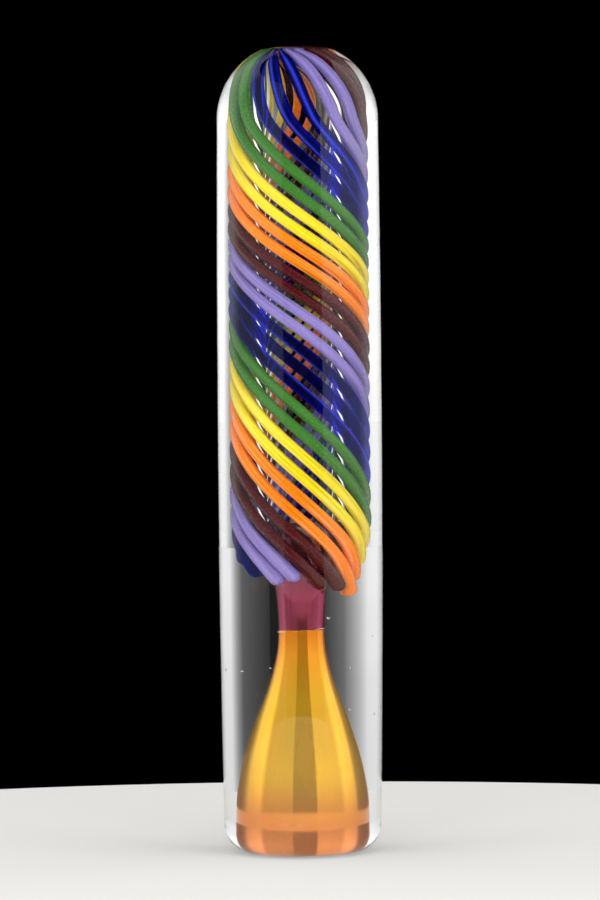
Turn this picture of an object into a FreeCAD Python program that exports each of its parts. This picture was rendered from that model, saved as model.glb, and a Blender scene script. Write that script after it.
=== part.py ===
import FreeCAD, Part
import math
import os

# Glass mezuzah case, in millimetres.  The origin is at the middle of the base, +Z up; the front
# faces -Y and the back, which goes against the doorpost, faces +Y.  Thick clear glass covers a
# thin glass core tube, wound with thirteen coloured canes.  Below the canes the hollow narrows to
# a rose neck and opens into an amber bell, whose mouth in the base takes a clear soft stopper.
# The rolled parchment stands on the stopper, runs up through the neck and comes out with it.

# Clear casing
total_height = 160.0
belly_radius = 16.4
belly_height = 90.0
shoulder_taper = 0.35
foot_taper = 0.7
shoulder_drop = 14.0
shoulder_bulge = 2.3
crown_edge_radius = 7.15
crown_arc_radius = 36.0
base_corner_limit = 5.5
base_rim = 1.15

# Coloured canes, wound left-handed round the core
cane_colours = ["lavender"] * 2 + ["cobalt"] * 3 + ["green"] * 2
cane_colours += ["yellow"] * 2 + ["orange"] * 2 + ["ruby"] * 2
cane_radius = 1.05
cane_ring_radius = 8.5
cane_end_ring_radius = 6.4
cane_control_spacing = 1.0
cane_control_points = 10
twist_pitch = 56.0
twist_at_pole = 0.165
twist_ease = 2.5
tight_twist = 0.18
tight_twist_drop = 30.5
tight_twist_spread = 15.0
# How far each cane's lower end stays above the lowest place that an end may reach, uneven by hand
cane_end_rises = [3.6, 3.0, 4.4, 6.6, 8.8, 9.4, 8.6, 6.8, 6.0, 3.2, 0.4, 1.5, 2.0]
cane_end_drop = 15.0

# Crown of the core: the canes run together at a pole that lies off the axis
crown_drop = 13.5
cane_dome_height = 10.9
pole_offset_x = -3.2
pole_offset_y = -1.5
pole_hole_radius = 0.8
cane_fill_at_pole = 0.8

# Core tube, neck and bell
core_wall = 0.6
core_foot = 66.0
liner_wall = 0.35
neck_length = 21.5
neck_radius = 3.13
bell_radius = 9.0
bell_mouth_height = 8.0

# Stopper
stopper_thickness = 6.0
stopper_recess = 0.4
stopper_lip_height = 1.2
stopper_groove_depth = 0.4
pull_recess_radius = 5.0
pull_recess_depth = 2.6
pull_bar_width = 2.4

# Rolled parchment
scroll_length = 60.0
parchment_thickness = 0.22
scroll_eye_radius = 0.9
scroll_turns = 3

# Mounting pads on a flat ground on the back
flat_width = 12.0
flat_length = 85.0
flat_drop = 15.0
pad_width = 10.0
pad_height = 22.0
pad_end_gap = 3.0
pad_corner_radius = 2.0

# Clearances between pieces
seam_gap = 0.05
stopper_fit = 0.05
crown_room = 0.12
scroll_clearance = 0.28

# Worked out from the values above
shell_shoulder = total_height - crown_drop
core_length = shell_shoulder - core_foot
liner_seam = core_foot - neck_length
cane_floor = core_foot - cane_end_drop
pitch_angle = 360.0 / len(cane_colours)
core_radius = cane_ring_radius - cane_radius - seam_gap
core_dome_height = cane_dome_height - cane_radius - 3 * seam_gap
cover_radius = cane_ring_radius + cane_radius + seam_gap
cover_dome_height = cane_dome_height + cane_radius + 3 * seam_gap
dome_step = (cane_ring_radius + cane_dome_height) / 2
mouth_bore = bell_radius - liner_wall
scroll_radius = neck_radius - liner_wall - scroll_clearance
scroll_foot = stopper_recess + stopper_thickness + seam_gap
foot_radius = belly_radius - foot_taper
base_flat_radius = bell_radius + seam_gap + base_rim
base_corner_radius = min(base_corner_limit, foot_radius - base_flat_radius)
flat_depth = belly_radius - math.sqrt(belly_radius ** 2 - (flat_width / 2) ** 2)
flat_plane = belly_radius - flat_depth
flat_top = total_height - flat_drop
flat_bottom = flat_top - flat_length
UP = FreeCAD.Vector(0, 0, 1)


def point(radius, height):
    """A point of an outline in the XZ plane."""
    return FreeCAD.Vector(radius, 0, height)


def arc(start, middle, end):
    return Part.Arc(start, middle, end).toShape()


def spline(points):
    curve = Part.BSplineCurve()
    curve.interpolate(points)
    return curve.toShape()


def lines(*points):
    return [Part.makeLine(a, b) for a, b in zip(points, points[1:])]


def revolve(edges):
    """The solid of a closed outline, given in order, turned round the axis."""
    face = Part.Face(Part.Wire(edges))
    return face.revolve(FreeCAD.Vector(0, 0, 0), UP, 360)


def sagitta(radius, half_chord):
    """How far an arc of this radius drops over half a chord."""
    return radius - math.sqrt(radius ** 2 - half_chord ** 2)


def ease(share):
    """A smooth step from 0 to 1."""
    share = min(max(share, 0.0), 1.0)
    return share * share * (3 - 2 * share)


# Outside of the glass

def outer_glass():
    """Flat base, round corner, slight belly, soft shoulder and low crown."""
    diagonal = base_corner_radius * math.sqrt(0.5)
    base_edge = point(base_flat_radius, 0)
    corner = point(base_flat_radius + diagonal, base_corner_radius - diagonal)
    foot = point(base_flat_radius + base_corner_radius, base_corner_radius)
    shoulder = point(belly_radius - shoulder_taper, total_height - shoulder_drop)
    crown_edge = point(crown_edge_radius, total_height - sagitta(crown_arc_radius, crown_edge_radius))
    half_edge = crown_edge_radius / 2
    crown_mid = point(half_edge, total_height - sagitta(crown_arc_radius, half_edge))
    top = point(0, total_height)
    chord = crown_edge - shoulder
    outward = FreeCAD.Vector(chord.z, 0, -chord.x).normalize()
    shoulder_mid = (shoulder + crown_edge) * 0.5 + outward * shoulder_bulge
    edges = [arc(base_edge, corner, foot)]
    edges.append(arc(foot, point(belly_radius, belly_height), shoulder))
    edges.append(arc(shoulder, shoulder_mid, crown_edge))
    edges.append(arc(crown_edge, crown_mid, top))
    edges += lines(top, point(0, 0), base_edge)
    return revolve(edges)


# Bell, neck and core tube

def liner_space(inset):
    """The space inside the bell and neck, its outline moved in by inset, up to the core tube."""
    bell_flare = bell_radius - neck_radius
    waist = liner_seam - bell_mouth_height
    core_flare = core_radius - neck_radius
    stations = [(bell_radius, bell_mouth_height)]
    for flare, rise in [(0.86, 0.25), (0.57, 0.48), (0.2, 0.72), (0.01, 0.92)]:
        stations.append((neck_radius + flare * bell_flare, bell_mouth_height + rise * waist))
    for flare, rise in [(0.04, 0.25), (0.16, 0.45), (0.58, 0.72), (0.94, 0.9), (1, 1)]:
        stations.append((neck_radius + flare * core_flare, liner_seam + rise * neck_length))
    curve = Part.BSplineCurve()
    wall = [point(radius - inset, height) for radius, height in stations]
    curve.interpolate(Points=wall, InitialTangent=UP, FinalTangent=UP)
    mouth = point(bell_radius - inset, 0)
    return revolve([curve.toShape()] + lines(wall[-1], point(0, core_foot), point(0, 0), mouth, wall[0]))


def liner(low, high):
    """The thin coloured wall of the bell or the neck between two heights."""
    wall = liner_space(0).cut(liner_space(liner_wall))
    return wall.common(Part.makeCylinder(belly_radius, high - low, point(0, low)))


def ring_centre(turn):
    """Where the ring at this angle up the crown is centred; 0 is the shoulder."""
    drift = math.sin(turn) ** 2
    return pole_offset_x * drift, pole_offset_y * drift


def dome(radius, height, room):
    """A dome on the shoulder whose rings drift off the axis, with room added halfway up."""
    rings = []
    for degrees in [0, 12, 24, 36, 48, 60, 71, 80, 86]:
        turn = math.radians(degrees)
        x, y = ring_centre(turn)
        centre = FreeCAD.Vector(x, y, shell_shoulder + height * math.sin(turn))
        size = radius * math.cos(turn) + room * math.sin(2 * turn)
        rings.append(Part.Wire(Part.makeCircle(size, centre, UP)))
    return Part.makeLoft(rings, True, False)


def core_space(inset):
    """The space inside the core tube's outside, moved in by inset: a cylinder under a dome."""
    straight = Part.makeCylinder(core_radius - inset, core_length, point(0, core_foot))
    return straight.fuse(dome(core_radius - inset, core_dome_height - inset, -crown_room))


# Canes

def cane_ring(height):
    """Radius of the ring of cane centres at a height below the crown."""
    share = ease((height - cane_floor) / cane_end_drop)
    return cane_end_ring_radius + (cane_ring_radius - cane_end_ring_radius) * share


def twist_turns(height):
    """Turns wound from the pole down to a height, tighter round the middle of the case."""
    drop = shell_shoulder - height
    eased = twist_ease * math.log1p(math.exp(drop / twist_ease))
    tight = 0.5 + 0.5 * math.erf((drop - tight_twist_drop) / tight_twist_spread)
    return twist_at_pole + eased / twist_pitch + tight_twist * tight


def cane_centre(index, rise):
    """Centre of a cane; rise is the way up from the shoulder, along the dome above it."""
    turn = max(rise, 0) / dome_step
    x, y = ring_centre(turn)
    height = shell_shoulder + min(rise, 0) + cane_dome_height * math.sin(turn)
    ring = cane_ring(shell_shoulder + min(rise, 0)) * math.cos(turn)
    angle = math.radians(360 * twist_turns(height) - 90 - index * pitch_angle)
    return FreeCAD.Vector(x + ring * math.cos(angle), y + ring * math.sin(angle), height)


def cane_size(rise):
    """Radius of a cane, drawn out thinner as the canes crowd together at the pole."""
    ring = cane_ring_radius * math.cos(max(rise, 0) / dome_step)
    return min(cane_radius, cane_fill_at_pole * math.pi * ring / len(cane_colours))


def cane_ring_points(index, rise, share):
    """Control points round the cane's section that give it its radius, from its outer side."""
    centre = cane_centre(index, rise)
    ahead = cane_centre(index, rise + seam_gap) - cane_centre(index, rise - seam_gap)
    side = ahead.cross(centre - point(0, core_foot)).normalize()
    out = side.cross(ahead).normalize()
    step = 2 * math.pi / cane_control_points
    size = cane_size(rise) * share * 6 / (4 + 2 * math.cos(step))
    points = []
    for angle in [step * place for place in range(cane_control_points)]:
        points.append(centre + out * (size * math.cos(angle)) + side * (size * math.sin(angle)))
    return points


def cane(index):
    """One cane, from its round lower end to the pole, as a smooth tube closed at both ends."""
    low = cane_floor + cane_end_rises[index] - shell_shoulder
    high = dome_step * math.acos(pole_hole_radius / cane_ring_radius)
    body = low + cane_radius
    rings = []
    for degrees in [15, 40, 65]:
        angle = math.radians(degrees)
        rise = low + cane_radius * (1 - math.cos(angle))
        rings.append(cane_ring_points(index, rise, math.sin(angle)))
    count = round((high - body) / cane_control_spacing)
    for step in range(count + 1):
        rings.append(cane_ring_points(index, body + (high - body) * step / count, 1))
    along_knots = list(range(len(rings) - 2))
    along_mults = [4] + [1] * (len(rings) - 4) + [4]
    round_knots = list(range(cane_control_points + 1))
    skin = Part.BSplineSurface()
    skin.buildFromPolesMultsKnots(rings, along_mults, [1] * len(round_knots), along_knots,
                                  round_knots, False, True, 3, 3)
    first, last, _, _ = skin.bounds()
    ends = [Part.Face(Part.Wire(skin.uIso(end).toShape())) for end in [first, last]]
    shell = Part.makeShell([skin.toShape()] + ends)
    shell.sewShape()
    return Part.Solid(shell)


def cane_room():
    """The space that the casing leaves for the canes, below the crown."""
    steps = [0, 0.3, 0.55, 0.8, 1]
    outline = []
    for height in [cane_floor + step * cane_end_drop for step in steps]:
        outline.append(point(cane_ring(height) + cane_radius + 3 * seam_gap, height))
    outline[-1] = point(cover_radius, core_foot)
    edges = [spline(outline)]
    edges += lines(outline[-1], point(cover_radius, shell_shoulder), point(0, shell_shoulder),
                   point(0, cane_floor), outline[0])
    return revolve(edges)


def clear_casing():
    """Thick clear glass over the canes, the core, the neck and the bell."""
    glass = outer_glass()
    glass = glass.cut(liner_space(-seam_gap))
    glass = glass.cut(cane_room())
    glass = glass.cut(dome(cover_radius, cover_dome_height, crown_room))
    corner = FreeCAD.Vector(-belly_radius, flat_plane, flat_bottom)
    return glass.cut(Part.makeBox(2 * belly_radius, 2 * flat_depth, flat_length, corner))


# Stopper, parchment and pads

def stopper():
    """A clear soft plug with two sealing lips and a bar across its pull recess."""
    lip = mouth_bore - stopper_fit
    neck = lip - stopper_groove_depth
    low = stopper_recess
    high = low + stopper_thickness
    profile = [point(0, low), point(neck, low)]
    for foot in [low + stopper_lip_height, high - 2 * stopper_lip_height]:
        profile += [point(neck, foot), point(lip, foot + 0.5 * stopper_lip_height)]
        profile += [point(neck, foot + stopper_lip_height)]
    profile += [point(neck, high), point(0, high), point(0, low)]
    plug = revolve(lines(*profile))
    recess = Part.makeCylinder(pull_recess_radius, pull_recess_depth, point(0, low))
    bar_corner = FreeCAD.Vector(-pull_recess_radius, -pull_bar_width / 2, low)
    bar = Part.makeBox(2 * pull_recess_radius, pull_bar_width, pull_recess_depth, bar_corner)
    return plug.cut(recess.cut(bar))


def parchment_scroll():
    """The parchment, rolled round an empty eye."""
    lead = (scroll_radius - parchment_thickness - scroll_eye_radius) / scroll_turns

    def turn_line(offset):
        points = []
        for step in range(16 * scroll_turns + 1):
            radius = scroll_eye_radius + offset + lead * step / 16
            angle = math.radians(22.5 * step)
            points.append(FreeCAD.Vector(radius * math.cos(angle), radius * math.sin(angle), scroll_foot))
        return points

    inner = turn_line(0)
    outer = turn_line(parchment_thickness)
    outline = [spline(inner)] + lines(inner[-1], outer[-1]) + [spline(outer[::-1])]
    outline += lines(outer[0], inner[0])
    return Part.Face(Part.Wire(outline)).extrude(UP * scroll_length)


def mounting_pad(foot):
    """A clear adhesive pad standing in the ground flat, its face level with the glass."""
    depth = flat_depth - seam_gap
    corner = FreeCAD.Vector(-pad_width / 2, flat_plane + seam_gap, foot)
    block = Part.makeBox(pad_width, depth, pad_height, corner)
    across = [edge for edge in block.Edges if abs(edge.Length - depth) < seam_gap]
    return block.makeFillet(pad_corner_radius, across)


def save(name, shape):
    shape.exportStep(os.path.join("parts", name + ".step"))
    print(name, len(shape.Solids), round(shape.Volume, 2), shape.isValid())


os.makedirs("parts", exist_ok=True)
save("clear_casing", clear_casing())
save("core_tube", core_space(0).cut(core_space(core_wall)))
save("rose_neck", liner(liner_seam + seam_gap, core_foot - seam_gap))
save("amber_bell", liner(0.2, liner_seam))
for number, colour in enumerate(cane_colours):
    place = number - cane_colours.index(colour) + 1
    save(f"{colour}_cane_{place}", cane(number))
save("base_stopper", stopper())
save("parchment_scroll", parchment_scroll())
save("lower_mounting_pad", mounting_pad(flat_bottom + pad_end_gap))
save("upper_mounting_pad", mounting_pad(flat_top - pad_end_gap - pad_height))
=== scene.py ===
import math
import random

import bmesh
import bpy
from mathutils import Matrix, Vector


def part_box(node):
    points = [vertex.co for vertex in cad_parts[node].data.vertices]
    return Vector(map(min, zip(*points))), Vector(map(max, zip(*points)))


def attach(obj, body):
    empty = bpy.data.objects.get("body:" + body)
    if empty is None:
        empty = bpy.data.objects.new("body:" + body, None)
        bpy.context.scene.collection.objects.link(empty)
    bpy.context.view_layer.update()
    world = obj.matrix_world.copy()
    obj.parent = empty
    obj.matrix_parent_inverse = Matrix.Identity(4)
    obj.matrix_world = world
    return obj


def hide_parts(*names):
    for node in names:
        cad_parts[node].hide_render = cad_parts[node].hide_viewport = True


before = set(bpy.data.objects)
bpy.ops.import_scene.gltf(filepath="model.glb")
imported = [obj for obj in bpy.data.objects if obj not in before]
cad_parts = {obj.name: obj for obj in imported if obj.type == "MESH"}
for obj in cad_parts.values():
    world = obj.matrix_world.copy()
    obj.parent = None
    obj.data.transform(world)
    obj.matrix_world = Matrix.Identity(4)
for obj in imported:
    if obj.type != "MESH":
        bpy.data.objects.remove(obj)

# A twisted-cane glass mezuzah case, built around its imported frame.  Lengths are in metres, +Z is
# up and the front faces -Y.  The glass of the real case is fused, so only the faces that meet air
# bend light; faces between two glasses are fused seams that let it straight through.

bl_info = {
    "name": "Glass mezuzah case",
    "version": (1, 0, 0),
    "blender": (4, 5, 0),
    "location": "View3D > Sidebar > Mezuzah",
    "description": "Builds the glass, canes, bell, stopper and parchment of a mezuzah case",
    "category": "Add Mesh",
}

MM = 0.001
CASING_LOW, CASING_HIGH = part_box("clear_casing")
CORE_LOW, CORE_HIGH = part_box("core_tube")
NECK_LOW, NECK_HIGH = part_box("rose_neck")
BELL_LOW, BELL_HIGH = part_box("amber_bell")
STOPPER_LOW, STOPPER_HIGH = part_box("base_stopper")
SCROLL_LOW, SCROLL_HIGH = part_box("parchment_scroll")
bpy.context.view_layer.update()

COLOURS = ["lavender"] * 2 + ["cobalt"] * 3 + ["green"] * 2
COLOURS += ["yellow"] * 2 + ["orange"] * 2 + ["ruby"] * 2
CANE_NODES = [f"{c}_cane_{i - COLOURS.index(c) + 1}" for i, c in enumerate(COLOURS)]
CANE_TIPS = [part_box(node)[0].z for node in CANE_NODES]

# Clearance between fused glasses, and the room that a leaning dome needs at its haunch
GAP = 0.05 * MM
ROOM = 0.12 * MM
# Points nearer than this are one point, and a pole closes from a ring this small
MERGE = 0.001 * MM
POLE = 0.02 * MM
# An edge that folds more than this stays sharp
SHARP = math.radians(38)


def number(name, default, description, **settings):
    return bpy.props.FloatProperty(name=name, default=default, description=description, **settings)


def length(name, millimetres, description):
    """A length property, which Blender holds in metres."""
    return number(name, millimetres * MM, description, unit="LENGTH", precision=5)


def share(name, default, description):
    return number(name, default, description, subtype="FACTOR")


def tilt(name, degrees, description):
    return number(name, math.radians(degrees), description, subtype="ANGLE")


def watts(name, default, description):
    return number(name, default, description, unit="POWER")


def count(name, default, description):
    return bpy.props.IntProperty(name=name, default=default, min=3, description=description)


def colour(name, default, description):
    return bpy.props.FloatVectorProperty(name=name, default=default, size=3, min=0, max=1,
                                         subtype="COLOR", description=description)


class MEZUZAH_PG_glass(bpy.types.PropertyGroup):
    """Sizes of the clear casing, the core, the neck and the bell."""

    shoulder_taper: length("Shoulder taper", 0.35, "How far the shoulder is inside the belly")
    foot_taper: length("Foot taper", 0.7, "How far the foot is inside the belly")
    belly_height: length("Belly height", 90, "Height of the widest place")
    shoulder_drop: length("Shoulder drop", 14, "How far under the top the shoulder starts")
    shoulder_bulge: length("Shoulder bulge", 2.3, "How far the shoulder stands out of its chord")
    crown_edge: length("Crown edge", 7.15, "Radius where the flat crown turns into the shoulder")
    crown_arc: length("Crown arc", 36, "Radius of the crown's curve")
    base_flat: length("Base flat", 10.2, "Radius of the flat that the case stands on")
    base_corner: length("Base corner", 5.5, "Radius of the round corner at the base")
    bell_mouth: length("Bell mouth", 8, "Height up to which the bell is straight")
    neck_radius: length("Neck radius", 3.13, "Outer radius of the neck")
    liner_wall: length("Liner wall", 0.35, "Thickness of the coloured liner")
    core_wall: length("Core wall", 0.6, "Thickness of the clear core tube")
    flat_depth: length("Flat depth", 1.137, "Depth of the flat ground on the back")
    flat_low: length("Flat foot", 60, "Height of the flat's lower end")
    flat_high: length("Flat top", 145, "Height of the flat's upper end")
    waviness: length("Waviness", 0.05, "How far the fire-polished surface wavers inwards")
    bubble: length("Bubble", 0.16, "Typical radius of a bubble in the glass")
    bubbles: count("Bubbles", 16, "How many small bubbles the clear glass has")
    segments: count("Segments", 160, "Faces round each turned piece")
    clear_tint: colour("Clear glass", (0.985, 0.99, 0.988), "Tint of the clear glass")
    rose: colour("Rose", (0.62, 0.10, 0.22), "Colour of the neck's film")
    amber: colour("Amber", (1.0, 0.62, 0.04), "Colour of the bell's film")
    ior: number("Index", 1.47, "Refractive index of the glass")


class MEZUZAH_PG_canes(bpy.types.PropertyGroup):
    """Sizes, twist and colours of the canes."""

    radius: length("Cane radius", 1.05, "Radius of each cane")
    ring: length("Ring radius", 8.5, "Radius of the ring of cane centres")
    end_ring: length("End ring radius", 6.4, "Radius of the ring at the lower ends")
    end_drop: length("End drop", 15, "How far under the core's foot an end may reach")
    pitch: length("Twist pitch", 56, "Height of one turn")
    at_pole: share("Twist at the pole", 0.165, "Turns already made at the pole")
    ease: length("Twist ease", 2.5, "Length over which the twist sets in")
    tight: share("Tight twist", 0.18, "Extra turns wound in round the middle")
    tight_drop: length("Tight twist drop", 30.5, "Where the extra turns are, under the shoulder")
    tight_spread: length("Tight twist spread", 15, "Over what length the extra turns are wound")
    crown_drop: length("Crown drop", 13.5, "How far under the top the core's shoulder is")
    dome: length("Dome height", 10.9, "Height of the dome that the canes run over")
    pole_x: length("Pole X", -3.2, "Where the canes meet, across the case")
    pole_y: length("Pole Y", -1.5, "Where the canes meet, from front to back")
    pole_hole: length("Pole hole", 0.8, "Radius of the ring where the canes end")
    pole_fill: share("Fill at the pole", 0.8, "Share of the ring that the thinned canes fill")
    unevenness: share("Unevenness", 0.05, "How much a hand-pulled cane's thickness varies")
    gather: share("Gather", 0.28, "How much thicker the glass gathers at a cane's lower end")
    gather_length: length("Gather length", 11, "Length over which it gathers")
    sides: count("Sides", 12, "Faces round each cane, an even number")
    spacing: length("Ring spacing", 0.8, "Distance between a cane's rings")
    lavender: colour("Lavender", (0.24, 0.185, 0.50), "Opaque lavender")
    cobalt: colour("Cobalt", (0.01, 0.022, 0.42), "Transparent cobalt")
    green: colour("Green", (0.036, 0.155, 0.018), "Opaque green")
    yellow: colour("Yellow", (0.90, 0.70, 0.012), "Opaque yellow")
    orange: colour("Orange", (1.0, 0.235, 0.004), "Opaque orange")
    ruby: colour("Ruby", (0.05, 0.003, 0.005), "Dark ruby")


class MEZUZAH_PG_fittings(bpy.types.PropertyGroup):
    """Sizes and colours of the stopper, the parchment and the pads."""

    lip_height: length("Lip height", 1.2, "Height of each sealing lip")
    groove: length("Groove", 0.4, "Depth of the grooves between the lips")
    recess_radius: length("Recess radius", 5, "Radius of the pull recess")
    recess_depth: length("Recess depth", 2.6, "Depth of the pull recess")
    bar_width: length("Bar width", 2.4, "Width of the pull bar")
    eye: length("Eye", 0.9, "Inner radius of the roll")
    sheet: length("Sheet", 0.22, "Thickness of the parchment")
    turns: count("Turns", 3, "Turns of the roll")
    pad_corner: length("Pad corner", 2, "Corner radius of the pads")
    parchment: colour("Parchment", (0.62, 0.47, 0.28), "Parchment skin")
    silicone: colour("Silicone", (0.86, 0.87, 0.88), "Clear soft silicone")


class MEZUZAH_PG_stage(bpy.types.PropertyGroup):
    """Camera, lights and floor."""

    camera_distance: length("Camera distance", 1200, "From the middle of the case")
    aim_height: length("Aim height", 79.9, "Height that the camera looks at")
    elevation: tilt("Elevation", 2.5, "Camera above the horizon")
    roll: tilt("Roll", 0.46, "How far the case leans to the left")
    view_height: length("View height", 178.77, "Height of what the camera sees at the case")
    floor_radius: length("Floor radius", 200, "Radius of the round floor")
    floor_forward: length("Floor forward", 60, "How far the floor's middle is towards the camera")
    floor: colour("Floor", (0.72, 0.71, 0.69), "Pale floor")
    screen_radius: length("Screen radius", 450, "Distance of the curved light screens")
    screen_foot: length("Screen foot", -250, "Height of the screens' lower edge")
    screen_height: length("Screen height", 1000, "Height of the screens")
    left_screen: number("Left screen", 1.0, "Brightness of the left screen")
    right_screen: number("Right screen", 1.0, "Brightness of the right screen")
    front_power: watts("Front fill", 11.0, "Power of the front fill light")
    back_power: watts("Back fill", 4.0, "Power of the back fill light")
    side_power: watts("Side fill", 5.0, "Power of the fill light on each side")
    top_power: watts("Top fill", 2.5, "Power of the high fill light")


# Shader maths

class Sum:
    """A value socket that Python's arithmetic works on by adding Math nodes."""

    def __init__(self, tree, socket):
        self.tree = tree
        self.socket = socket

    def math(self, operation, *values):
        node = self.tree.nodes.new("ShaderNodeMath")
        node.operation = operation
        for place, value in enumerate(values):
            self.tree.feed(node.inputs[place], value)
        return Sum(self.tree, node.outputs[0])

    def __add__(self, other):
        return self.math("ADD", self, other)

    def __radd__(self, other):
        return self.math("ADD", other, self)

    def __sub__(self, other):
        return self.math("SUBTRACT", self, other)

    def __rsub__(self, other):
        return self.math("SUBTRACT", other, self)

    def __mul__(self, other):
        return self.math("MULTIPLY", self, other)

    def __rmul__(self, other):
        return self.math("MULTIPLY", other, self)

    def __pow__(self, other):
        return self.math("POWER", self, other)


class Tree:
    """A material's nodes, with one way of adding any of them."""

    def __init__(self, name):
        self.material = bpy.data.materials.new(name)
        self.material.use_nodes = True
        self.nodes = self.material.node_tree.nodes
        self.links = self.material.node_tree.links
        self.nodes.clear()

    def feed(self, socket, value):
        """Set a socket to a number, a tuple or another node's output."""
        if isinstance(value, Sum):
            value = value.socket
        if isinstance(value, bpy.types.NodeSocket):
            self.links.new(value, socket)
        else:
            socket.default_value = value

    def add(self, kind, inputs=None, output=0, stops=None, **settings):
        """Add a node: its settings, its ramp's stops, then its inputs by name or number."""
        node = self.nodes.new("ShaderNode" + kind)
        for key, value in settings.items():
            setattr(node, key, value)
        if stops:
            for place, stop in enumerate(stops):
                ramp = node.color_ramp.elements
                element = ramp[place] if place < 2 else ramp.new(stop[0])
                element.position = stop[0]
                element.color = (*stop[1], 1)
        for key, value in (inputs or {}).items():
            self.feed(node.inputs[key], value)
        return node.outputs[output]

    def value(self, kind, inputs=None, output=0, **settings):
        return Sum(self, self.add(kind, inputs, output, **settings))

    def place(self):
        """The position on the piece, in metres."""
        return self.add("TexCoord", output="Object")

    def part(self, vector, axis):
        """A vector's part along axis 0, 1 or 2."""
        return self.value("SeparateXYZ", {0: vector}, output=axis)

    def noise(self, vector, scale, detail=2.0, roughness=0.5):
        inputs = {"Vector": vector, "Scale": scale, "Detail": detail, "Roughness": roughness}
        return self.value("TexNoise", inputs)

    def blend(self, factor, first, second, how="MIX"):
        """Mix two colours."""
        node = self.nodes.new("ShaderNodeMix")
        node.data_type = "RGBA"
        node.blend_type = how
        for place, value in ((0, factor), (6, first), (7, second)):
            self.feed(node.inputs[place], value)
        return node.outputs[2]

    def stretched(self, vector, scale):
        return self.add("Mapping", {"Vector": vector, "Scale": scale})

    def clear(self, tint):
        return self.add("BsdfTransparent", {"Color": rgba(tint)})

    def mixed(self, factor, first, second):
        return self.add("MixShader", {0: factor, 1: first, 2: second})

    def bump(self, height, distance):
        return self.add("Bump", {"Height": height, "Distance": distance})

    def done(self, shader):
        self.links.new(shader, self.nodes.new("ShaderNodeOutputMaterial").inputs["Surface"])
        return self.material


def rgba(values):
    return (*values, 1)


def let_lamps_through(tree, shader, tint):
    """Glass that casts only a tinted shadow, as clear glass nearly does."""
    clear = tree.clear(tint)
    lamp = tree.add("LightPath", output="Is Shadow Ray")
    return tree.mixed(lamp, shader, clear)


def clear_glass(name, tint, ior):
    """Fire-polished clear glass: faint draw lines and a breath of wiping marks."""
    tree = Tree(name)
    place = tree.place()
    drawn = tree.stretched(place, (1, 1, 0.06))
    lines = tree.noise(drawn, scale=420, detail=3)
    smear = tree.noise(place, scale=90, detail=4)
    rough = (smear ** 6) * 0.05
    glass = tree.add("BsdfPrincipled", {
        "Base Color": rgba(tint), "Roughness": rough, "IOR": ior, "Transmission Weight": 1.0,
        "Normal": tree.bump(lines, 0.002 * MM)})
    return tree.done(let_lamps_through(tree, glass, tint))


def fused_seam(name):
    """A face between two fused glasses, which nothing shows of."""
    tree = Tree(name)
    return tree.done(tree.clear((1, 1, 1)))


def ground_glass(name, tint, ior):
    """Glass ground flat and polished, with the wheel's fine marks left in it."""
    tree = Tree(name)
    place = tree.place()
    grain = tree.noise(place, scale=9000)
    drawn = tree.stretched(place, (0.05, 1, 1))
    wheel = tree.noise(drawn, scale=3000)
    glass = tree.add("BsdfPrincipled", {
        "Base Color": rgba(tint), "Roughness": 0.01 + 0.03 * grain, "IOR": ior,
        "Transmission Weight": 1.0, "Normal": tree.bump(wheel, 0.004 * MM)})
    return tree.done(let_lamps_through(tree, glass, tint))


def colour_film(name, tint, low, high, shades, cover, mirror):
    """A fumed film fused into the glass: part mirror, part clear, its colour shaded upwards."""
    tree = Tree(name)
    place = tree.place()
    height = tree.part(place, 2)
    drawn = tree.stretched(place, (1, 1, 0.04))
    streaks = tree.noise(drawn, scale=260, roughness=0.4)
    cloud = tree.noise(place, scale=70)
    upwards = tree.value("MapRange", {"Value": height + (cloud - 0.5) * (3 * MM),
                                      "From Min": low, "From Max": high})
    shade = tree.add("ValToRGB", {0: upwards}, stops=shades)
    skin = tree.blend(streaks * 0.35, shade, (0.75, 0.2, 0.02, 1), "MULTIPLY")
    film = tree.add("BsdfPrincipled", {
        "Base Color": skin, "Metallic": mirror + 0.2 * cloud, "Roughness": 0.05 + 0.09 * cloud,
        "Normal": tree.bump(streaks, 0.01 * MM)})
    clear = tree.clear(tint)
    thick = tree.value("MapRange", {"Value": streaks + 0.5 * cloud, "From Min": 0.5,
                                    "From Max": 1.0, "To Min": cover - 0.08,
                                    "To Max": cover + 0.08})
    return tree.done(tree.mixed(thick, clear, film))


def opaque_cane(name, tint):
    """Opaque coloured rod: long lighter and darker streaks from the pull."""
    tree = Tree(name)
    along = tree.add("UVMap")
    drawn = tree.stretched(along, (7, 9, 1))
    streaks = tree.noise(drawn, scale=1, detail=4, roughness=0.6)
    grain = tree.noise(tree.place(), scale=2600)
    pale = tuple(0.75 * value + 0.25 * max(tint) for value in tint)
    deep = tuple(0.55 * value for value in tint)
    ramp = tree.add("ValToRGB", {0: streaks}, stops=[(0.3, deep), (0.5, tint), (0.72, pale)])
    skin = tree.add("BsdfPrincipled", {
        "Base Color": ramp, "Roughness": 0.16 + 0.2 * grain, "Specular IOR Level": 0.42,
        "Normal": tree.bump(streaks, 0.03 * MM)})
    return tree.done(skin)


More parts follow.
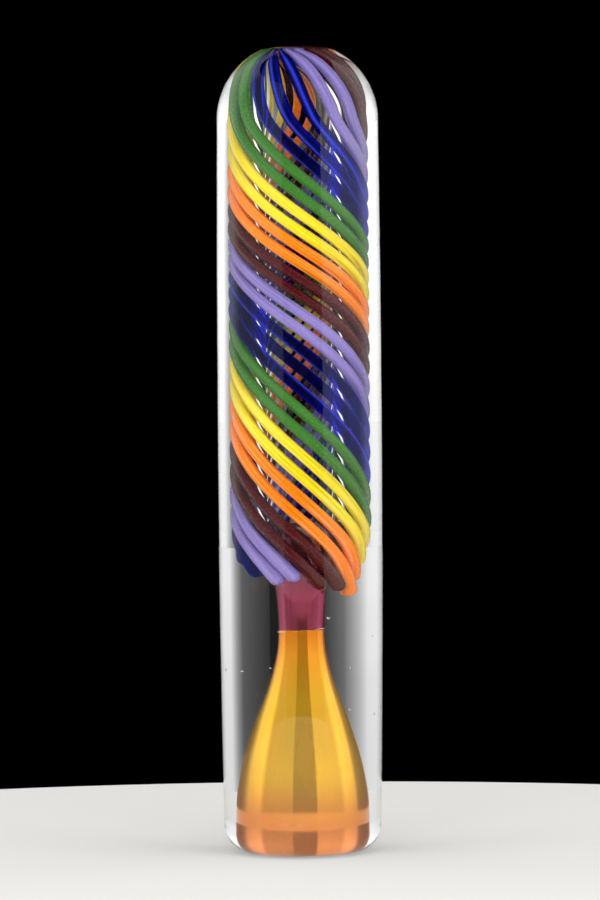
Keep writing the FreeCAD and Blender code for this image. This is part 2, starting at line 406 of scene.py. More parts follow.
def clear_cane(name, tint, body, cover):
    """Transparent coloured rod: a dark clear middle between painted highlights, two thin
    lighter-blue lines along it.
    """
    tree = Tree(name)
    along = tree.add("UVMap")
    around = tree.part(along, 1)
    drawn = tree.stretched(along, (4, 6, 1))
    streaks = tree.noise(drawn, scale=1, detail=3, roughness=0.6)
    # Painted highlights: two thin lines round each cane, in a lighter copy of the blue, stand in
    # for glints along it
    painted_glint_lines = (0.5 + 0.5 * around.math("SINE", around * (2 * math.tau))) ** 8
    bright = tuple(min(1.0, 2.2 * value + 0.03) for value in body)
    shade = tree.blend(painted_glint_lines, rgba(body), rgba(bright))
    skin = tree.add("BsdfPrincipled", {
        "Base Color": shade, "Roughness": 0.12 + 0.15 * streaks, "Specular IOR Level": 0.5,
        "Normal": tree.bump(streaks, 0.03 * MM)})
    clear = tree.clear(tint)
    edge = tree.value("LayerWeight", {"Blend": 0.35}, output=1)
    factor = cover + 0.3 * painted_glint_lines + 0.5 * edge ** 3 + 0.1 * (streaks - 0.5)
    return tree.done(tree.mixed(factor, clear, skin))


def soft_silicone(name, tint):
    """Clear soft silicone, a little milky and dusty."""
    tree = Tree(name)
    dust = tree.noise(tree.place(), scale=700, detail=4)
    skin = tree.add("BsdfPrincipled", {
        "Base Color": rgba(tint), "Roughness": 0.14 + 0.3 * dust, "IOR": 1.41,
        "Transmission Weight": 0.9, "Normal": tree.bump(dust, 0.02 * MM)})
    return tree.done(let_lamps_through(tree, skin, tint))


def parchment_skin(name, tint):
    """Parchment: mottled, with pores and long fibres."""
    tree = Tree(name)
    place = tree.place()
    mottle = tree.noise(place, scale=160, detail=5, roughness=0.6)
    pores = tree.noise(place, scale=3200, detail=3)
    shade = tree.blend(mottle, rgba(tuple(0.72 * value for value in tint)), rgba(tint))
    skin = tree.blend((pores ** 4) * 0.8, shade, (0.32, 0.2, 0.1, 1))
    return tree.done(tree.add("BsdfPrincipled", {
        "Base Color": skin, "Roughness": 0.6 + 0.25 * pores,
        "Normal": tree.bump(pores + mottle, 0.04 * MM)}))


def adhesive_pad(name):
    """Clear acrylic mounting pad that wets the glass, with fine bubbles in it."""
    tree = Tree(name)
    place = tree.place()
    bubbles = tree.value("TexVoronoi", {"Vector": place, "Scale": 1800.0})
    milk = tree.noise(place, scale=400, detail=3)
    skin = tree.add("BsdfPrincipled", {
        "Base Color": (0.9, 0.91, 0.9, 1), "Roughness": 0.2 + 0.3 * milk,
        "Normal": tree.bump(bubbles, 0.02 * MM)})
    clear = tree.clear((0.99, 0.995, 0.99))
    return tree.done(tree.mixed(0.01 + 0.05 * milk, clear, skin))


def plain_floor(name, tint):
    """Pale matt board."""
    tree = Tree(name)
    fibre = tree.noise(tree.place(), scale=900, detail=4)
    shade = tree.blend(fibre, rgba(tuple(0.96 * value for value in tint)), rgba(tint))
    return tree.done(tree.add("BsdfPrincipled", {"Base Color": shade, "Roughness": 0.9}))


# Mesh work

def to_mesh(bm, name):
    bmesh.ops.recalc_face_normals(bm, faces=bm.faces)
    mesh = bpy.data.meshes.new(name)
    bm.to_mesh(mesh)
    bm.free()
    return mesh


def piece(name, bm, slots, slot, body, *nodes):
    """Link a finished piece, smooth but for its sharp edges, and tell the frame about it."""
    mesh = to_mesh(bm, name)
    for material in slots:
        mesh.materials.append(material)
    mesh.shade_smooth()
    mesh.set_sharp_from_angle(angle=SHARP)
    made = bpy.data.objects.new(name, mesh)
    bpy.context.scene.collection.objects.link(made)
    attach(made, body)
    if nodes:
        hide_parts(*nodes)
    return made


def from_curve(curve):
    """The surface of a curve, its doubled points merged."""
    holder = bpy.data.objects.new(curve.name, curve)
    mesh = bpy.data.meshes.new_from_object(holder)
    bpy.data.objects.remove(holder)
    bpy.data.curves.remove(curve)
    bm = bmesh.new()
    bm.from_mesh(mesh)
    bpy.data.meshes.remove(mesh)
    bmesh.ops.remove_doubles(bm, verts=bm.verts, dist=MERGE)
    return bm


def turned(rings, sides, end="pole"):
    """A closed skin through rings of (radius, height, slot, x, y).

    It runs from pole to pole, from a pole to a flat end, or in a loop back to its first ring."""
    bm = bmesh.new()
    radius, height, slot, x, y = rings[0]
    first = bmesh.ops.create_circle(bm, segments=sides, radius=radius)["verts"]
    bmesh.ops.translate(bm, verts=first, vec=(x, y, height))
    edges = bm.edges[:]
    start = edges[:]
    verts = first
    for ring in rings[1:]:
        made = bmesh.ops.extrude_edge_only(bm, edges=edges)["geom"]
        verts = [item for item in made if isinstance(item, bmesh.types.BMVert)]
        fresh = set(verts)
        edges = [item for item in made if isinstance(item, bmesh.types.BMEdge)
                 and set(item.verts) <= fresh]
        grow = ring[0] / radius
        bmesh.ops.translate(bm, verts=verts, vec=(-x, -y, -height))
        bmesh.ops.scale(bm, verts=verts, vec=(grow, grow, 1))
        radius, height, slot, x, y = ring
        bmesh.ops.translate(bm, verts=verts, vec=(x, y, height))
        for item in made:
            if isinstance(item, bmesh.types.BMFace):
                item.material_index = slot
    if end == "loop":
        for face in bmesh.ops.bridge_loops(bm, edges=start + edges)["faces"]:
            face.material_index = rings[0][2]
        return bm
    if end == "flat":
        bmesh.ops.edgeloop_fill(bm, edges=edges)
    else:
        bmesh.ops.pointmerge(bm, verts=verts, merge_co=(x, y, height))
    bmesh.ops.pointmerge(bm, verts=first, merge_co=(rings[0][3], rings[0][4], rings[0][1]))
    return bm


def ring(radius, height, slot=0, x=0.0, y=0.0):
    return (radius, height, slot, x, y)


def through(start, middle, end, steps):
    """Points after the first on the arc through three points."""
    ax, ay = start
    bx, by = middle
    cx, cy = end
    turn = 2 * (ax * (by - cy) + bx * (cy - ay) + cx * (ay - by))
    a, b, c = ax * ax + ay * ay, bx * bx + by * by, cx * cx + cy * cy
    centre = Vector(((a * (by - cy) + b * (cy - ay) + c * (ay - by)) / turn,
                     (a * (cx - bx) + b * (ax - cx) + c * (bx - ax)) / turn))
    first = Vector(start) - centre
    angle = first.angle_signed(Vector(end) - centre)
    points = []
    for step in range(1, steps + 1):
        share_done = -angle * step / steps
        turned_by = Vector((first.x * math.cos(share_done) - first.y * math.sin(share_done),
                            first.x * math.sin(share_done) + first.y * math.cos(share_done)))
        points.append(tuple(centre + turned_by))
    return points


def ease(share_done):
    """A smooth step from 0 to 1."""
    share_done = min(max(share_done, 0.0), 1.0)
    return share_done * share_done * (3 - 2 * share_done)


def smooth_line(stations, steps):
    """A smooth line of (radius, height) through stations, upright at both ends."""
    slopes = [0.0]
    for low, high in zip(stations, stations[2:]):
        slopes.append((high[0] - low[0]) / (high[1] - low[1]))
    slopes.append(0.0)
    points = [stations[0]]
    for place, (low, high) in enumerate(zip(stations, stations[1:])):
        rise = high[1] - low[1]
        for step in range(1, steps + 1):
            t = step / steps
            radius = (1 + 2 * t) * (1 - t) ** 2 * low[0] + t * t * (3 - 2 * t) * high[0]
            radius += rise * t * (1 - t) ** 2 * slopes[place]
            radius -= rise * t * t * (1 - t) * slopes[place + 1]
            points.append((radius, low[1] + rise * t))
    return points


# Shapes that several pieces share

# How far the liner has flared from the neck's radius, by share of the way up: the bell below the
# seam, and the neck above it
BELL_FLARE = ((0.86, 0.25), (0.57, 0.48), (0.2, 0.72), (0.01, 0.92))
NECK_FLARE = ((0.04, 0.25), (0.16, 0.45), (0.58, 0.72), (0.94, 0.9), (1, 1))
DOME_STEPS = 30
DOME_END = 89.7


def bell_line(glass, steps=7):
    """Outside of the bell and neck, from the base up to the core's foot."""
    bell = BELL_HIGH.x
    seam, top = BELL_HIGH.z, CORE_LOW.z
    core = CORE_HIGH.x
    neck = glass.neck_radius
    stations = [(bell, glass.bell_mouth)]
    for flare, rise in BELL_FLARE:
        height = glass.bell_mouth + rise * (seam - glass.bell_mouth)
        stations.append((neck + flare * (bell - neck), height))
    for flare, rise in NECK_FLARE:
        stations.append((neck + flare * (core - neck), seam + rise * (top - seam)))
    return smooth_line(stations, steps)


def ring_centre(canes, turn):
    """Where the ring at this angle up the crown is centred."""
    drift = math.sin(turn) ** 2
    return canes.pole_x * drift, canes.pole_y * drift


def shoulder_height(canes):
    return CASING_HIGH.z - canes.crown_drop


def dome_rings(canes, radius, height, slot, room=0.0):
    """Rings of a leaning dome on the core's shoulder, from the shoulder to the pole."""
    rings = []
    for step in range(DOME_STEPS + 1):
        turn = math.radians(DOME_END * step / DOME_STEPS)
        x, y = ring_centre(canes, turn)
        size = radius * math.cos(turn) + room * math.sin(2 * turn)
        rings.append(ring(size, shoulder_height(canes) + height * math.sin(turn), slot, x, y))
    return rings


# Clear casing

# The slow waves of the fire-polished surface: radians per metre of height, and where each starts
WAVES = ((310, 0), (173, 1), (61, 2))


def casing_outside(glass):
    """Rings from the base edge over the corner, belly and shoulder to the crown's pole."""
    top = CASING_HIGH.z
    belly = CASING_HIGH.x
    flat = glass.base_flat
    corner = glass.base_corner
    diagonal = corner * math.sqrt(0.5)
    foot = (belly - glass.foot_taper, corner)
    shoulder = (belly - glass.shoulder_taper, top - glass.shoulder_drop)
    arc = glass.crown_arc
    edge = (glass.crown_edge, top - arc + math.sqrt(arc ** 2 - glass.crown_edge ** 2))
    half = glass.crown_edge / 2
    crown = (half, top - arc + math.sqrt(arc ** 2 - half ** 2))
    chord = Vector(edge) - Vector(shoulder)
    bulge = Vector((chord.y, -chord.x)).normalized() * glass.shoulder_bulge
    over = tuple((Vector(shoulder) + Vector(edge)) / 2 + bulge)
    points = [(flat, 0.0)]
    points += through(points[0], (flat + diagonal, corner - diagonal), foot, steps=16)
    points += through(foot, (belly, glass.belly_height), shoulder, steps=90)
    points += through(shoulder, over, edge, steps=24)
    points += through(edge, crown, (POLE, top), steps=12)
    rings = []
    for radius, height in points:
        waver = math.prod(math.sin(height * often + start) for often, start in WAVES)
        inward = glass.waviness * (0.5 + 0.5 * waver) * min(1, radius / belly)
        rings.append(ring(radius - inward, height))
    return rings


def casing_bore(glass, canes):
    """Rings of the fused seam, from the pole over the canes down to the bell's mouth."""
    cover = canes.ring + canes.radius + GAP
    rise = canes.dome + canes.radius + 3 * GAP
    rings = dome_rings(canes, cover, rise, 1, ROOM)[::-1]
    foot = CORE_LOW.z
    steps = 8
    for step in range(steps + 1):
        height = foot - canes.end_drop * step / steps
        spread = canes.end_ring + (canes.ring - canes.end_ring) * ease(1 - step / steps)
        rings.append(ring(spread + canes.radius + GAP, height, 1))
    line = [point for point in bell_line(glass) if point[1] < foot - canes.end_drop]
    rings += [ring(radius + GAP, height, 1) for radius, height in line[::-1]]
    rings.append(ring(BELL_HIGH.x + GAP, 0.0, 1))
    return rings


def grind_flat(made, glass):
    """Cut the flat ground for the pads out of the back, with a box."""
    bm = bmesh.new()
    bmesh.ops.create_cube(bm, size=1)
    belly = CASING_HIGH.x
    size = (2 * belly, 2 * glass.flat_depth, glass.flat_high - glass.flat_low)
    bmesh.ops.scale(bm, verts=bm.verts, vec=size)
    bmesh.ops.translate(bm, verts=bm.verts, vec=(0, belly, (glass.flat_low + glass.flat_high) / 2))
    for face in bm.faces:
        face.material_index = 2
    box = bpy.data.objects.new("flat_cutter", to_mesh(bm, "flat_cutter"))
    for material in made.data.materials:
        box.data.materials.append(material)
    bpy.context.scene.collection.objects.link(box)
    cut = made.modifiers.new("Ground flat", "BOOLEAN")
    cut.object = box
    cut.solver = "EXACT"
    cut.material_mode = "INDEX"
    graph = bpy.context.evaluated_depsgraph_get()
    mesh = bpy.data.meshes.new_from_object(made.evaluated_get(graph))
    made.modifiers.clear()
    made.data = mesh
    mesh.set_sharp_from_angle(angle=SHARP)
    bpy.data.objects.remove(box)


class MEZUZAH_OT_casing(bpy.types.Operator):
    """Build the thick clear casing, with the flat ground on its back"""

    bl_idname = "mezuzah.casing"
    bl_label = "Clear casing"

    def execute(self, context):
        glass = context.scene.mezuzah_glass
        canes = context.scene.mezuzah_canes
        rings = casing_bore(glass, canes) + casing_outside(glass)
        bm = turned(rings, glass.segments)
        slots = [clear_glass("polished clear glass", glass.clear_tint, glass.ior),
                 fused_seam("fused seam"),
                 ground_glass("ground glass", glass.clear_tint, glass.ior)]
        made = piece("glass_casing", bm, slots, "clear_glass", "case", "clear_casing")
        grind_flat(made, glass)
        return {"FINISHED"}


# Core tube

class MEZUZAH_OT_core(bpy.types.Operator):
    """Build the clear core tube that the canes are wound on"""

    bl_idname = "mezuzah.core"
    bl_label = "Core tube"

    def execute(self, context):
        glass = context.scene.mezuzah_glass
        canes = context.scene.mezuzah_canes
        wall = glass.core_wall
        outer = CORE_HIGH.x
        rise = CORE_HIGH.z - shoulder_height(canes)
        rings = dome_rings(canes, outer - wall, rise - wall, 0, -ROOM)[::-1]
        rings += [ring(outer - wall, CORE_LOW.z, 0), ring(outer, CORE_LOW.z, 1)]
        rings += dome_rings(canes, outer, rise, 1, -ROOM)
        bm = turned(rings, glass.segments)
        slots = [clear_glass("clear core glass", glass.clear_tint, glass.ior),
                 fused_seam("fused core seam")]
        piece("glass_core", bm, slots, "clear_core", "case", "core_tube")
        return {"FINISHED"}


# Neck and bell

def liner_rings(glass, low, high):
    """Rings up the outside of the liner and down its inside, between two heights."""
    line = [point for point in bell_line(glass, 12) if low < point[1] < high]
    line = [(line[0][0], low)] + line + [(line[-1][0], high)]
    rings = [ring(radius, height, 0) for radius, height in line]
    rings += [ring(radius - glass.liner_wall, height, 1) for radius, height in line[::-1]]
    return rings


class MEZUZAH_OT_liners(bpy.types.Operator):
    """Build the rose neck and the amber bell"""

    bl_idname = "mezuzah.liners"
    bl_label = "Neck and bell"

    def execute(self, context):
        glass = context.scene.mezuzah_glass
        wall = clear_glass("inner wall glass", glass.clear_tint, glass.ior)
        rose, amber = tuple(glass.rose), tuple(glass.amber)
        rose_shades = [(0.0, rose), (0.3, rose), (0.6, (0.4, 0.2, 0.25)), (1.0, (0.32, 0.27, 0.3))]
        amber_shades = [(0.0, (1.0, 0.36, 0.14)), (0.15, (1.0, 0.38, 0.08)), (0.34, amber),
                        (0.7, amber), (0.98, (1.0, 0.36, 0.02))]
        neck = (NECK_LOW.z, NECK_HIGH.z)
        bell = (BELL_LOW.z, BELL_HIGH.z)
        films = (
            ("rose", "rose_neck", neck, (0.62, 0.36, 0.42), rose_shades, 0.5, 0.8),
            ("amber", "amber_bell", bell, (1.0, 0.62, 0.18), amber_shades, 0.86, 0.6),
        )
        for name, node, span, tint, shades, cover, mirror in films:
            film = colour_film(f"{name} film", tint, *span, shades, cover, mirror)
            rings = liner_rings(glass, *span)
            bm = turned(rings, glass.segments, "loop")
            piece(f"glass_{node}", bm, [film, wall], f"{name}_glass", "case", node)
        return {"FINISHED"}


# Trapped air

def trapped_air(name, ior):
    """Air shut in the glass, which light leaves the glass to cross."""
    tree = Tree(name)
    haze = tree.noise(tree.place(), scale=900)
    air = tree.add("BsdfPrincipled", {
        "Base Color": (1, 1, 1, 1), "Roughness": 0.02 * haze, "IOR": 1 / ior,
        "Transmission Weight": 1.0})
    return tree.done(let_lamps_through(tree, air, (1, 1, 1)))


AIR_TILT = math.radians(-6)
# Bubbles: lowest and highest share of the casing's radius and height, of the typical size, and of
# how much longer than wide they are drawn
BUBBLE_AWAY = (0.68, 0.9)
BUBBLE_HEIGHT = (0.08, 0.3)
BUBBLE_SIZE = (0.6, 1.5)
BUBBLE_STRETCH = (1.0, 2.2)


class MEZUZAH_OT_air(bpy.types.Operator):
    """Add the line of air at the bell's seam and a few small bubbles in the clear glass"""

    bl_idname = "mezuzah.air"
    bl_label = "Trapped air"

    def execute(self, context):
        glass = context.scene.mezuzah_glass
        bm = bmesh.new()
        size = glass.bubble
        line = bmesh.ops.create_circle(bm, segments=10, radius=0.45 * size)["verts"]
        upright = Matrix.Rotation(math.pi / 2, 3, "X")
        bmesh.ops.rotate(bm, verts=line, matrix=upright)
        bmesh.ops.translate(bm, verts=line, vec=(glass.neck_radius + size, 0, BELL_HIGH.z))
        bmesh.ops.spin(bm, geom=bm.verts[:] + bm.edges[:], axis=(0, 0, 1), angle=math.tau,
                       steps=120, use_merge=True)
        askew = Matrix.Rotation(AIR_TILT, 3, "Y")
        middle = Matrix.Translation((0, 0, -BELL_HIGH.z))
        bmesh.ops.rotate(bm, verts=bm.verts, matrix=askew, space=middle)
        spots = random.Random(7)
        for _ in range(glass.bubbles):
            angle = spots.uniform(0, math.tau)
            away = spots.uniform(*BUBBLE_AWAY) * CASING_HIGH.x
            height = spots.uniform(*BUBBLE_HEIGHT) * CASING_HIGH.z
            radius = size * spots.uniform(*BUBBLE_SIZE)
            made = bmesh.ops.create_icosphere(bm, subdivisions=3, radius=radius)["verts"]
            bmesh.ops.scale(bm, verts=made, vec=(1, 1, spots.uniform(*BUBBLE_STRETCH)))
            place = (away * math.cos(angle), away * math.sin(angle), height)
            bmesh.ops.translate(bm, verts=made, vec=place)
        piece("trapped_air", bm, [trapped_air("trapped air", glass.ior)], "clear_glass", "case")
        return {"FINISHED"}


# Canes

# Where the rings of a cane's round lower end stand, in degrees up its quarter circle
TIP_DEGREES = (4, 15, 27, 40, 53, 66, 78, 90)
# The waves of a hand-pulled cane: radians per metre, and how far each cane's start is shifted
CANE_WAVES = ((410, 2.4), (167, 1.7))
COBALT_TINT = (0.10, 0.14, 0.62)
COBALT_COVER = 0.02


def twist_turns(canes, height):
    """Turns wound from the pole down to a height, tighter round the middle of the case."""
    drop = shoulder_height(canes) - height
    eased = canes.ease * math.log1p(math.exp(drop / canes.ease))
    tight = 0.5 + 0.5 * math.erf((drop - canes.tight_drop) / canes.tight_spread)
    return canes.at_pole + eased / canes.pitch + canes.tight * tight


def cane_centre(canes, index, rise):
    """Centre of a cane; rise is the way up from the shoulder, along the dome above it."""
    turn = max(rise, 0) / ((canes.ring + canes.dome) / 2)
    x, y = ring_centre(canes, turn)
    straight = shoulder_height(canes) + min(rise, 0)
    height = straight + canes.dome * math.sin(turn)
    spread = ease((straight - CORE_LOW.z + canes.end_drop) / canes.end_drop)
    size = (canes.end_ring + (canes.ring - canes.end_ring) * spread) * math.cos(turn)
    angle = math.tau * (twist_turns(canes, height) - index / len(CANE_NODES)) - math.pi / 2
    return Vector((x + size * math.cos(angle), y + size * math.sin(angle), height))


def cane_radius(canes, index, rise):
    """Radius of a cane: a little uneven, and drawn out thinner towards the pole."""
    turn = max(rise, 0) / ((canes.ring + canes.dome) / 2)
    crowded = canes.pole_fill * math.pi * canes.ring * math.cos(turn) / len(CANE_NODES)
    wander = math.prod(math.sin(rise * often + shift * index) for often, shift in CANE_WAVES)
    above_tip = rise + shoulder_height(canes) - CANE_TIPS[index]
    gathered = 1 + canes.gather * (1 - ease(above_tip / canes.gather_length))
    uneven = 1 - canes.unevenness * (0.5 + 0.5 * wander)
    return min(canes.radius, crowded) * uneven * gathered


def cane_surface(canes, index):
    """A cane as a bevelled curve from its round lower end up to the pole."""
    half = (canes.ring + canes.dome) / 2
    high = half * math.acos(canes.pole_hole / canes.ring)
    low = CANE_TIPS[index] - shoulder_height(canes)
    stations = []
    for degrees in TIP_DEGREES:
        angle = math.radians(degrees)
        stations.append((low + canes.radius * (1 - math.cos(angle)), math.sin(angle)))
    body = stations[-1][0]
    steps = round((high - body) / canes.spacing)
    for step in range(1, steps + 1):
        stations.append((body + (high - body) * step / steps, 1.0))
    curve = bpy.data.curves.new("cane_line", "CURVE")
    curve.dimensions = "3D"
    curve.bevel_depth = 1.0
    curve.bevel_resolution = (canes.sides - 4) // 2
    curve.use_fill_caps = True
    spline = curve.splines.new("POLY")
    spline.points.add(len(stations) - 1)
    for point, (rise, tip) in zip(spline.points, stations):
        point.co = (*cane_centre(canes, index, rise), 1)
        point.radius = cane_radius(canes, index, rise) * tip
    return from_curve(curve)


class MEZUZAH_OT_canes(bpy.types.Operator):
    """Wind the thirteen coloured canes round the core"""

    bl_idname = "mezuzah.canes"
    bl_label = "Canes"

    def execute(self, context):
        canes = context.scene.mezuzah_canes
        finishes = {}
        for name in ("lavender", "green", "yellow", "orange", "ruby"):
            finishes[name] = opaque_cane(f"{name} cane", tuple(getattr(canes, name)))
        cobalt = tuple(canes.cobalt)
        finishes["cobalt"] = clear_cane("cobalt cane", COBALT_TINT, cobalt, COBALT_COVER)
        for index, node in enumerate(CANE_NODES):
            name = COLOURS[index]
            bm = cane_surface(canes, index)
            piece(f"drawn_{node}", bm, [finishes[name]], f"{name}_glass", "case", node)
        return {"FINISHED"}


# Stopper

LIP_STEPS = 6
STOPPER_SIDES = 96
# Only the flat underside, and what it is cut into, are faces with more corners than this
FEW_CORNERS = 8


def bulged(low, high, radius, depth):
    """The round lip between two heights."""
    rings = []
    for step in range(LIP_STEPS + 1):
        share_done = step / LIP_STEPS
        out = math.sin(math.pi * share_done)
        rings.append(ring(radius - depth + depth * out, low + (high - low) * share_done))
    return rings


class MEZUZAH_OT_stopper(bpy.types.Operator):
    """Build the soft stopper: two sealing lips and a bar across its recess"""

    bl_idname = "mezuzah.stopper"
    bl_label = "Stopper"

    def execute(self, context):
        parts = context.scene.mezuzah_fittings
        low, high = STOPPER_LOW.z, STOPPER_HIGH.z
        lip = STOPPER_HIGH.x
        neck = lip - parts.groove
        edge = 0.3 * MM
        hub = 0.05 * MM
        rings = [ring(hub, high), ring(neck - edge, high), ring(neck, high - edge)]
        for foot in (high - 2 * parts.lip_height, low + parts.lip_height):
            rings += bulged(foot, foot + parts.lip_height, lip, parts.groove)[::-1]
        rings += [ring(neck, low + edge), ring(neck - edge, low), ring(parts.recess_radius, low)]
        bm = turned(rings, STOPPER_SIDES, "flat")
        for side in (-1, 1):
            near = [face for face in bm.faces if len(face.verts) > FEW_CORNERS]
            geometry = near + list({e for face in near for e in face.edges})
            geometry += list({v for face in near for v in face.verts})
            bmesh.ops.bisect_plane(bm, geom=geometry, plane_no=(0, side, 0),
                                   plane_co=(0, side * parts.bar_width / 2, 0))
        pockets = [face for face in bm.faces if len(face.verts) > FEW_CORNERS
                   and abs(face.calc_center_median().y) > parts.bar_width / 2]
        made = bmesh.ops.extrude_discrete_faces(bm, faces=pockets)["faces"]
        verts = list({vert for face in made for vert in face.verts})
        bmesh.ops.translate(bm, verts=verts, vec=(0, 0, parts.recess_depth))
        slots = [soft_silicone("clear silicone", parts.silicone)]
        piece("soft_stopper", bm, slots, "clear_silicone", "stopper", "base_stopper")
        return {"FINISHED"}


# Parchment

STEPS_A_TURN = 48


class MEZUZAH_OT_parchment(bpy.types.Operator):
    """Roll the blank parchment round an empty eye"""

    bl_idname = "mezuzah.parchment"
    bl_label = "Parchment"

    def execute(self, context):
        parts = context.scene.mezuzah_fittings
        outer = SCROLL_HIGH.y
        lead = (outer - parts.sheet - parts.eye) / parts.turns
        curve = bpy.data.curves.new("roll", "CURVE")
        curve.dimensions = "2D"
        curve.fill_mode = "NONE"
        curve.extrude = (SCROLL_HIGH.z - SCROLL_LOW.z) / 2
        spline = curve.splines.new("POLY")
        spline.points.add(STEPS_A_TURN * parts.turns)
        for step, point in enumerate(spline.points):
            turns = step / STEPS_A_TURN
            radius = parts.eye + parts.sheet / 2 + lead * turns
            angle = math.tau * turns
            point.co = (radius * math.cos(angle), radius * math.sin(angle), 0, 1)
        bm = from_curve(curve)
        middle = (SCROLL_LOW.z + SCROLL_HIGH.z) / 2
        bmesh.ops.translate(bm, verts=bm.verts, vec=(0, 0, middle))
        bmesh.ops.solidify(bm, geom=bm.faces[:] + bm.edges[:] + bm.verts[:],
                           thickness=parts.sheet)
        slots = [parchment_skin("parchment skin", tuple(parts.parchment))]
        piece("rolled_parchment", bm, slots, "parchment", "scroll", "parchment_scroll")
        return {"FINISHED"}


# Mounting pads

PAD_RIM = 0.15 * MM


def depth(edge):
    """How far an edge runs from front to back."""
    return abs(edge.verts[0].co.y - edge.verts[1].co.y)


def round_edges(bm, edges, offset, segments):
    bmesh.ops.bevel(bm, geom=edges, offset=offset, segments=segments, profile=0.5,
                    affect="EDGES", material=-1)


class MEZUZAH_OT_pads(bpy.types.Operator):
    """Set the two adhesive pads in the ground flat on the back"""

    bl_idname = "mezuzah.pads"
    bl_label = "Mounting pads"

    def execute(self, context):
        parts = context.scene.mezuzah_fittings
        finish = adhesive_pad("clear mounting pad")
        for node in ("lower_mounting_pad", "upper_mounting_pad"):
            low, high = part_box(node)
            bm = bmesh.new()
            bmesh.ops.create_cube(bm, size=1)
            bmesh.ops.scale(bm, verts=bm.verts, vec=high - low)
            bmesh.ops.translate(bm, verts=bm.verts, vec=(low + high) / 2)
            across = [edge for edge in bm.edges if depth(edge) > 0.5 * MM]
            round_edges(bm, across, parts.pad_corner, segments=8)
            rims = [edge for edge in bm.edges if depth(edge) < 0.01 * MM]
            round_edges(bm, rims, PAD_RIM, segments=3)
            piece(f"soft_{node}", bm, [finish], "mounting_pad", "case", node)
        return {"FINISHED"}


# Stage

# Brightness of each screen by degrees round the case from the camera, for an even tent of light
# that leaves a dark gap round the camera and a dark ground behind the case
LEFT_LEVELS = ((22, 0.5), (90, 0.55), (104, 1.45), (140, 1.15), (151, 0.6), (160, 0.2), (172, 0.0))
RIGHT_LEVELS = ((32, 0.9), (90, 0.85), (104, 1.5), (134, 1.2), (142, 0.42), (148, 0.14),
                (166, 0.03))
# Brightness by share of a screen's height
UPWARD_LEVELS = ((0.0, 0.3), (0.25, 0.65), (0.41, 1.1), (0.58, 0.8), (1.0, 0.6))
# Fill lights: name, the stage's value for its power, place, width and height
FILLS = (
    ("front fill", "front_power", (0, -0.8, 0.12), (0.9, 0.6)),
    ("back fill", "back_power", (0, 0.8, 0.12), (0.9, 0.6)),
    ("left fill", "side_power", (-0.75, -0.3, 0.1), (0.6, 0.6)),
    ("right fill", "side_power", (0.75, -0.3, 0.1), (0.6, 0.6)),
    ("top fill", "top_power", (0, -0.2, 0.7), (0.6, 0.5)),
)


def grey_stops(levels):
    return [(place, (level, level, level)) for place, level in levels]


def screen_light(name, levels, strength, low, high):
    """The lit cloth of a screen, brighter and darker round its curve and upwards."""
    tree = Tree(name)
    spot = tree.place()
    x, y, z = [tree.part(spot, axis) for axis in range(3)]
    azimuth = x.math("ARCTAN2", x.math("ABSOLUTE", x), 0 - y) * (1 / math.pi)
    stops = grey_stops((degrees / 180, level) for degrees, level in levels)
    around = tree.add("ValToRGB", {0: azimuth}, stops=stops)
    share_up = tree.value("MapRange", {"Value": z, "From Min": low, "From Max": high})
    upwards = tree.add("ValToRGB", {0: share_up}, stops=grey_stops(UPWARD_LEVELS))
    cloth = tree.blend(1.0, around, upwards, "MULTIPLY")
    return tree.done(tree.add("Emission", {"Color": cloth, "Strength": strength}))


def curved_screen(stage, name, levels, side, strength):
    """A tall curved screen round one side of the case, that the camera doesn't see."""
    start, end = math.radians(levels[0][0]), math.radians(levels[-1][0])
    foot = stage.screen_foot
    head = foot + stage.screen_height
    bm = bmesh.new()
    low = bm.verts.new((0, -stage.screen_radius, foot))
    high = bm.verts.new((0, -stage.screen_radius, head))
    edge = bm.edges.new((low, high))
    bmesh.ops.rotate(bm, verts=bm.verts, matrix=Matrix.Rotation(side * start, 3, "Z"))
    bmesh.ops.spin(bm, geom=[edge, low, high], axis=(0, 0, side), angle=end - start, steps=72)
    mesh = bpy.data.meshes.new(name)
    bm.to_mesh(mesh)
    bm.free()
    mesh.materials.append(screen_light(name, levels, strength, foot, head))
    made = bpy.data.objects.new(name, mesh)
    bpy.context.scene.collection.objects.link(made)
    made.visible_camera = False
    made.visible_shadow = False


def fill_light(name, power, place, size):
    """A soft panel that brightens the colours and isn't mirrored in the glass."""
    data = bpy.data.lights.new(name, "AREA")
    data.shape = "RECTANGLE"
    data.size, data.size_y = size
    data.energy = power
    lamp = bpy.data.objects.new(name, data)
    bpy.context.scene.collection.objects.link(lamp)
    lamp.location = place
    aim = Vector((0, 0, CASING_HIGH.z / 2)) - lamp.location
    lamp.rotation_euler = aim.to_track_quat("-Z", "Y").to_euler()
    lamp.visible_camera = False
    lamp.visible_glossy = False
    lamp.visible_transmission = False


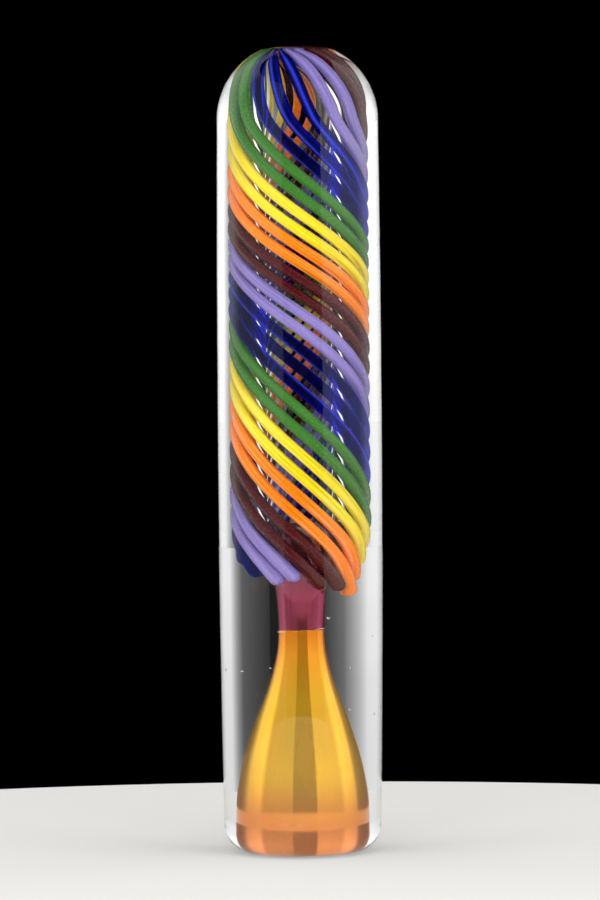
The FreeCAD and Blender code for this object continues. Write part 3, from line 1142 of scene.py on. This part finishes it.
class MEZUZAH_OT_stage(bpy.types.Operator):
    """Set up the camera, the soft lights and the pale floor"""

    bl_idname = "mezuzah.stage"
    bl_label = "Stage"

    def execute(self, context):
        stage = context.scene.mezuzah_stage
        scene = context.scene
        data = bpy.data.cameras.new("camera")
        data.sensor_width = 36  # the lens is in the same millimetres
        data.lens = data.sensor_width * stage.camera_distance / stage.view_height
        data.clip_end = 20
        camera = bpy.data.objects.new("camera", data)
        scene.collection.objects.link(camera)
        aim = Vector((0, 0, stage.aim_height))
        back = Vector((0, -math.cos(stage.elevation), math.sin(stage.elevation)))
        camera.location = aim + back * stage.camera_distance
        look = (-back).to_track_quat("-Z", "Y").to_matrix()
        lean = Matrix.Rotation(-stage.roll, 3, "Z")
        camera.rotation_euler = (look @ lean).to_euler()
        scene.camera = camera

        world = bpy.data.worlds.new("studio")
        world.use_nodes = True
        world.node_tree.nodes["Background"].inputs["Color"].default_value = (0, 0, 0, 1)
        scene.world = world
        curved_screen(stage, "left_screen", LEFT_LEVELS, -1, stage.left_screen)
        curved_screen(stage, "right_screen", RIGHT_LEVELS, 1, stage.right_screen)
        for name, power, place, size in FILLS:
            fill_light(name, getattr(stage, power), place, size)

        bm = bmesh.new()
        bmesh.ops.create_circle(bm, cap_ends=True, segments=128, radius=stage.floor_radius)
        low = CASING_LOW.z - GAP
        bmesh.ops.translate(bm, verts=bm.verts, vec=(0, -stage.floor_forward, low))
        mesh = to_mesh(bm, "floor")
        mesh.materials.append(plain_floor("pale board", tuple(stage.floor)))
        floor = bpy.data.objects.new("floor", mesh)
        scene.collection.objects.link(floor)

        scene.view_settings.view_transform = "Standard"
        scene.cycles.transparent_max_bounces = 48
        scene.cycles.max_bounces = 24
        scene.cycles.transmission_bounces = 20
        scene.cycles.glossy_bounces = 8
        scene.cycles.caustics_refractive = False
        return {"FINISHED"}


class MEZUZAH_PT_panel(bpy.types.Panel):
    """Lists the pieces of the case"""

    bl_idname = "MEZUZAH_PT_panel"
    bl_label = "Mezuzah case"
    bl_space_type = "VIEW_3D"
    bl_region_type = "UI"
    bl_category = "Mezuzah"

    def draw(self, context):
        for operator in OPERATORS:
            self.layout.operator(operator.bl_idname)


GROUPS = {
    "mezuzah_glass": MEZUZAH_PG_glass,
    "mezuzah_canes": MEZUZAH_PG_canes,
    "mezuzah_fittings": MEZUZAH_PG_fittings,
    "mezuzah_stage": MEZUZAH_PG_stage,
}
OPERATORS = (
    MEZUZAH_OT_stage,
    MEZUZAH_OT_casing,
    MEZUZAH_OT_core,
    MEZUZAH_OT_liners,
    MEZUZAH_OT_air,
    MEZUZAH_OT_canes,
    MEZUZAH_OT_stopper,
    MEZUZAH_OT_parchment,
    MEZUZAH_OT_pads,
)


def register():
    for group in GROUPS.values():
        bpy.utils.register_class(group)
    for operator in OPERATORS:
        bpy.utils.register_class(operator)
    bpy.utils.register_class(MEZUZAH_PT_panel)
    for name, group in GROUPS.items():
        setattr(bpy.types.Scene, name, bpy.props.PointerProperty(type=group))


def unregister():
    for name in GROUPS:
        delattr(bpy.types.Scene, name)
    bpy.utils.unregister_class(MEZUZAH_PT_panel)
    for operator in reversed(OPERATORS):
        bpy.utils.unregister_class(operator)
    for group in reversed(GROUPS.values()):
        bpy.utils.unregister_class(group)


def main():
    register()
    for operator in OPERATORS:
        family, name = operator.bl_idname.split(".")
        getattr(getattr(bpy.ops, family), name)()


if __name__ == "__main__":
    main()
